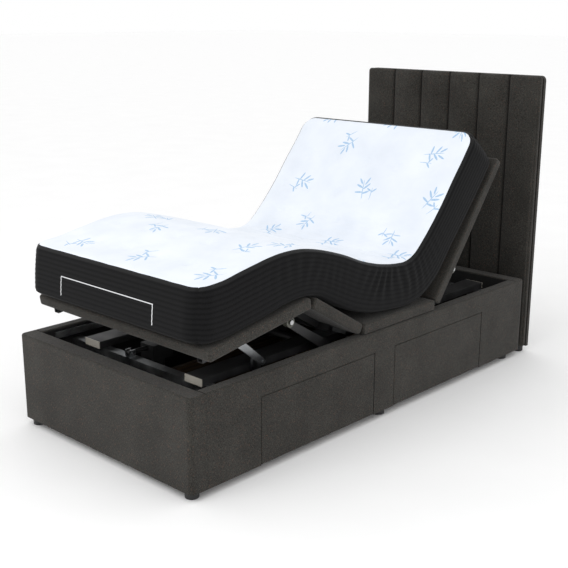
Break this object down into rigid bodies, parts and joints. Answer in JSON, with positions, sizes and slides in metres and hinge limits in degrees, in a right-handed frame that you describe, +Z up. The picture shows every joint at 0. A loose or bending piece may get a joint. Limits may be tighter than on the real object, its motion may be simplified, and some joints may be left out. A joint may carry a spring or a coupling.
{
  "type": "adjustable bed base",
  "caption": "Upholstered divan bed base with drawers and a channelled headboard; hinged back, thigh and foot panels lift the mattress on motor-driven roller arms.",
  "frame": {"origin": "on the floor under the middle of the whole bed's box", "axes": "+Z up, +Y towards the headboard, +X towards the drawer side"},
  "size_m": [0.996, 2.175, 1.309],
  "materials": {
    "charcoal_linen": "matte",
    "mattress_knit": "matte",
    "black_lining": "matte",
    "pine_board": "satin",
    "black_plastic": "satin",
    "powder_coated_steel": "satin",
    "zinc_plated_steel": "satin",
    "ivory_plastic": "satin",
    "nylon": "satin",
    "ground_steel": "polished"
  },
  "bodies": {
    "base": {"foot_end_board": "charcoal_linen", "head_end_board": "charcoal_linen", "far_side_board": "charcoal_linen", "near_side_board": "charcoal_linen", "bottom_board": "pine_board", "centre_board": "pine_board", "drawer_partitions": "pine_board", "inner_lining": "black_lining", "floor_feet": "black_plastic", "headboard_pad": "charcoal_linen", "headboard_board": "charcoal_linen", "headboard_struts": "pine_board", "drawer_runners": "zinc_plated_steel", "frame_rails": "powder_coated_steel", "rail_end_caps": "ivory_plastic", "side_ledgers": "zinc_plated_steel", "foot_cross_member": "zinc_plated_steel", "head_cross_member": "zinc_plated_steel", "seat_cross_members": "zinc_plated_steel", "seat_hinge_pins": "ground_steel", "lift_tube_bearings": "black_plastic", "control_box": "black_plastic", "seat_panel": "charcoal_linen", "seat_mattress": "mattress_knit", "link_pivots": "zinc_plated_steel", "leg_outer_tube": "zinc_plated_steel", "leg_motor": "black_plastic", "back_outer_tube": "zinc_plated_steel", "back_motor": "black_plastic", "rear_pins": "ground_steel"},
    "foot_drawer": {"foot_drawer_front": "charcoal_linen", "foot_drawer_box": "pine_board", "foot_drawer_slides": "zinc_plated_steel"},
    "head_drawer": {"head_drawer_front": "charcoal_linen", "head_drawer_box": "pine_board", "head_drawer_slides": "zinc_plated_steel"},
    "back": {"back_panel": "charcoal_linen", "back_mattress": "mattress_knit", "back_frame_tubes": "powder_coated_steel"},
    "thigh": {"thigh_panel": "charcoal_linen", "thigh_mattress": "mattress_knit", "thigh_frame_tubes": "powder_coated_steel", "knee_hinge_pins": "ground_steel"},
    "foot": {"foot_panel": "charcoal_linen", "foot_mattress": "mattress_knit", "foot_frame_tubes": "powder_coated_steel"},
    "foot_links": {"foot_links": "zinc_plated_steel"},
    "leg_lift": {"leg_lift_tube": "powder_coated_steel", "leg_lift_arms": "powder_coated_steel", "leg_roller_pins": "ground_steel"},
    "near_leg_roller": {"near_leg_roller": "nylon"},
    "far_leg_roller": {"far_leg_roller": "nylon"},
    "back_lift": {"back_lift_tube": "powder_coated_steel", "back_lift_arms": "powder_coated_steel", "back_roller_pins": "ground_steel"},
    "near_back_roller": {"near_back_roller": "nylon"},
    "far_back_roller": {"far_back_roller": "nylon"},
    "leg_rod": {"leg_push_rod": "ground_steel"},
    "back_rod": {"back_push_rod": "ground_steel"}
  },
  "joints": [
    {"name": "foot_drawer_slide", "type": "slide", "parent": "base", "child": "foot_drawer", "axis": [1, 0, 0], "range_m": [0, 0.38]},
    {"name": "head_drawer_slide", "type": "slide", "parent": "base", "child": "head_drawer", "axis": [1, 0, 0], "range_m": [0, 0.38]},
    {"name": "back_hinge", "type": "hinge", "parent": "base", "child": "back", "pos_m": [0, 0.293, 0.41], "axis": [1, 0, 0], "range_deg": [-52.5, 2.5]},
    {"name": "back_lift_turn", "type": "hinge", "parent": "base", "child": "back_lift", "pos_m": [0, 0.232, 0.3], "axis": [1, 0, 0], "range_deg": [-36.74, 1.77]},
    {"name": "near_back_roller_spin", "type": "hinge", "parent": "back_lift", "child": "near_back_roller", "pos_m": [0.417, 0.50304, 0.50528], "axis": [1, 0, 0], "continuous": true},
    {"name": "far_back_roller_spin", "type": "hinge", "parent": "back_lift", "child": "far_back_roller", "pos_m": [-0.417, 0.50304, 0.50528], "axis": [1, 0, 0], "continuous": true},
    {"name": "back_rod_slide", "type": "slide", "parent": "base", "child": "back_rod", "axis": [0, 1, 0], "range_m": [-0.00158, 0.02314]},
    {"name": "thigh_hinge", "type": "hinge", "parent": "base", "child": "thigh", "pos_m": [0, -0.19, 0.41], "axis": [-1, 0, 0], "range_deg": [-31, 5]},
    {"name": "knee_hinge", "type": "hinge", "parent": "thigh", "child": "foot", "pos_m": [0, -0.48523, 0.55939], "axis": [-1, 0, 0], "range_deg": [-6.47, 40.02]},
    {"name": "leg_lift_turn", "type": "hinge", "parent": "base", "child": "leg_lift", "pos_m": [0, -0.23, 0.3], "axis": [-1, 0, 0], "range_deg": [-28.16, 4.56]},
    {"name": "near_leg_roller_spin", "type": "hinge", "parent": "leg_lift", "child": "near_leg_roller", "pos_m": [0.417, -0.53394, 0.49664], "axis": [1, 0, 0], "continuous": true},
    {"name": "far_leg_roller_spin", "type": "hinge", "parent": "leg_lift", "child": "far_leg_roller", "pos_m": [-0.417, -0.53394, 0.49664], "axis": [1, 0, 0], "continuous": true},
    {"name": "leg_rod_slide", "type": "slide", "parent": "base", "child": "leg_rod", "axis": [0, 1, 0], "range_m": [-0.01803, 0.00333]},
    {"name": "foot_link_turn", "type": "hinge", "parent": "base", "child": "foot_links", "pos_m": [0, -0.6325, 0.3591], "axis": [-1, 0, 0], "range_deg": [-42.25, 6.83]}
  ],
  "couplings": [
    {"joint": "back_lift_turn", "follows": "back_hinge", "ratio": 0.6994},
    {"joint": "back_rod_slide", "follows": "back_hinge", "m_per_rad": -0.024706},
    {"joint": "knee_hinge", "follows": "thigh_hinge", "ratio": -1.2903},
    {"joint": "leg_lift_turn", "follows": "thigh_hinge", "ratio": 0.9079},
    {"joint": "leg_rod_slide", "follows": "thigh_hinge", "m_per_rad": 0.032401},
    {"joint": "foot_link_turn", "follows": "thigh_hinge", "ratio": 1.3624}
  ]
}
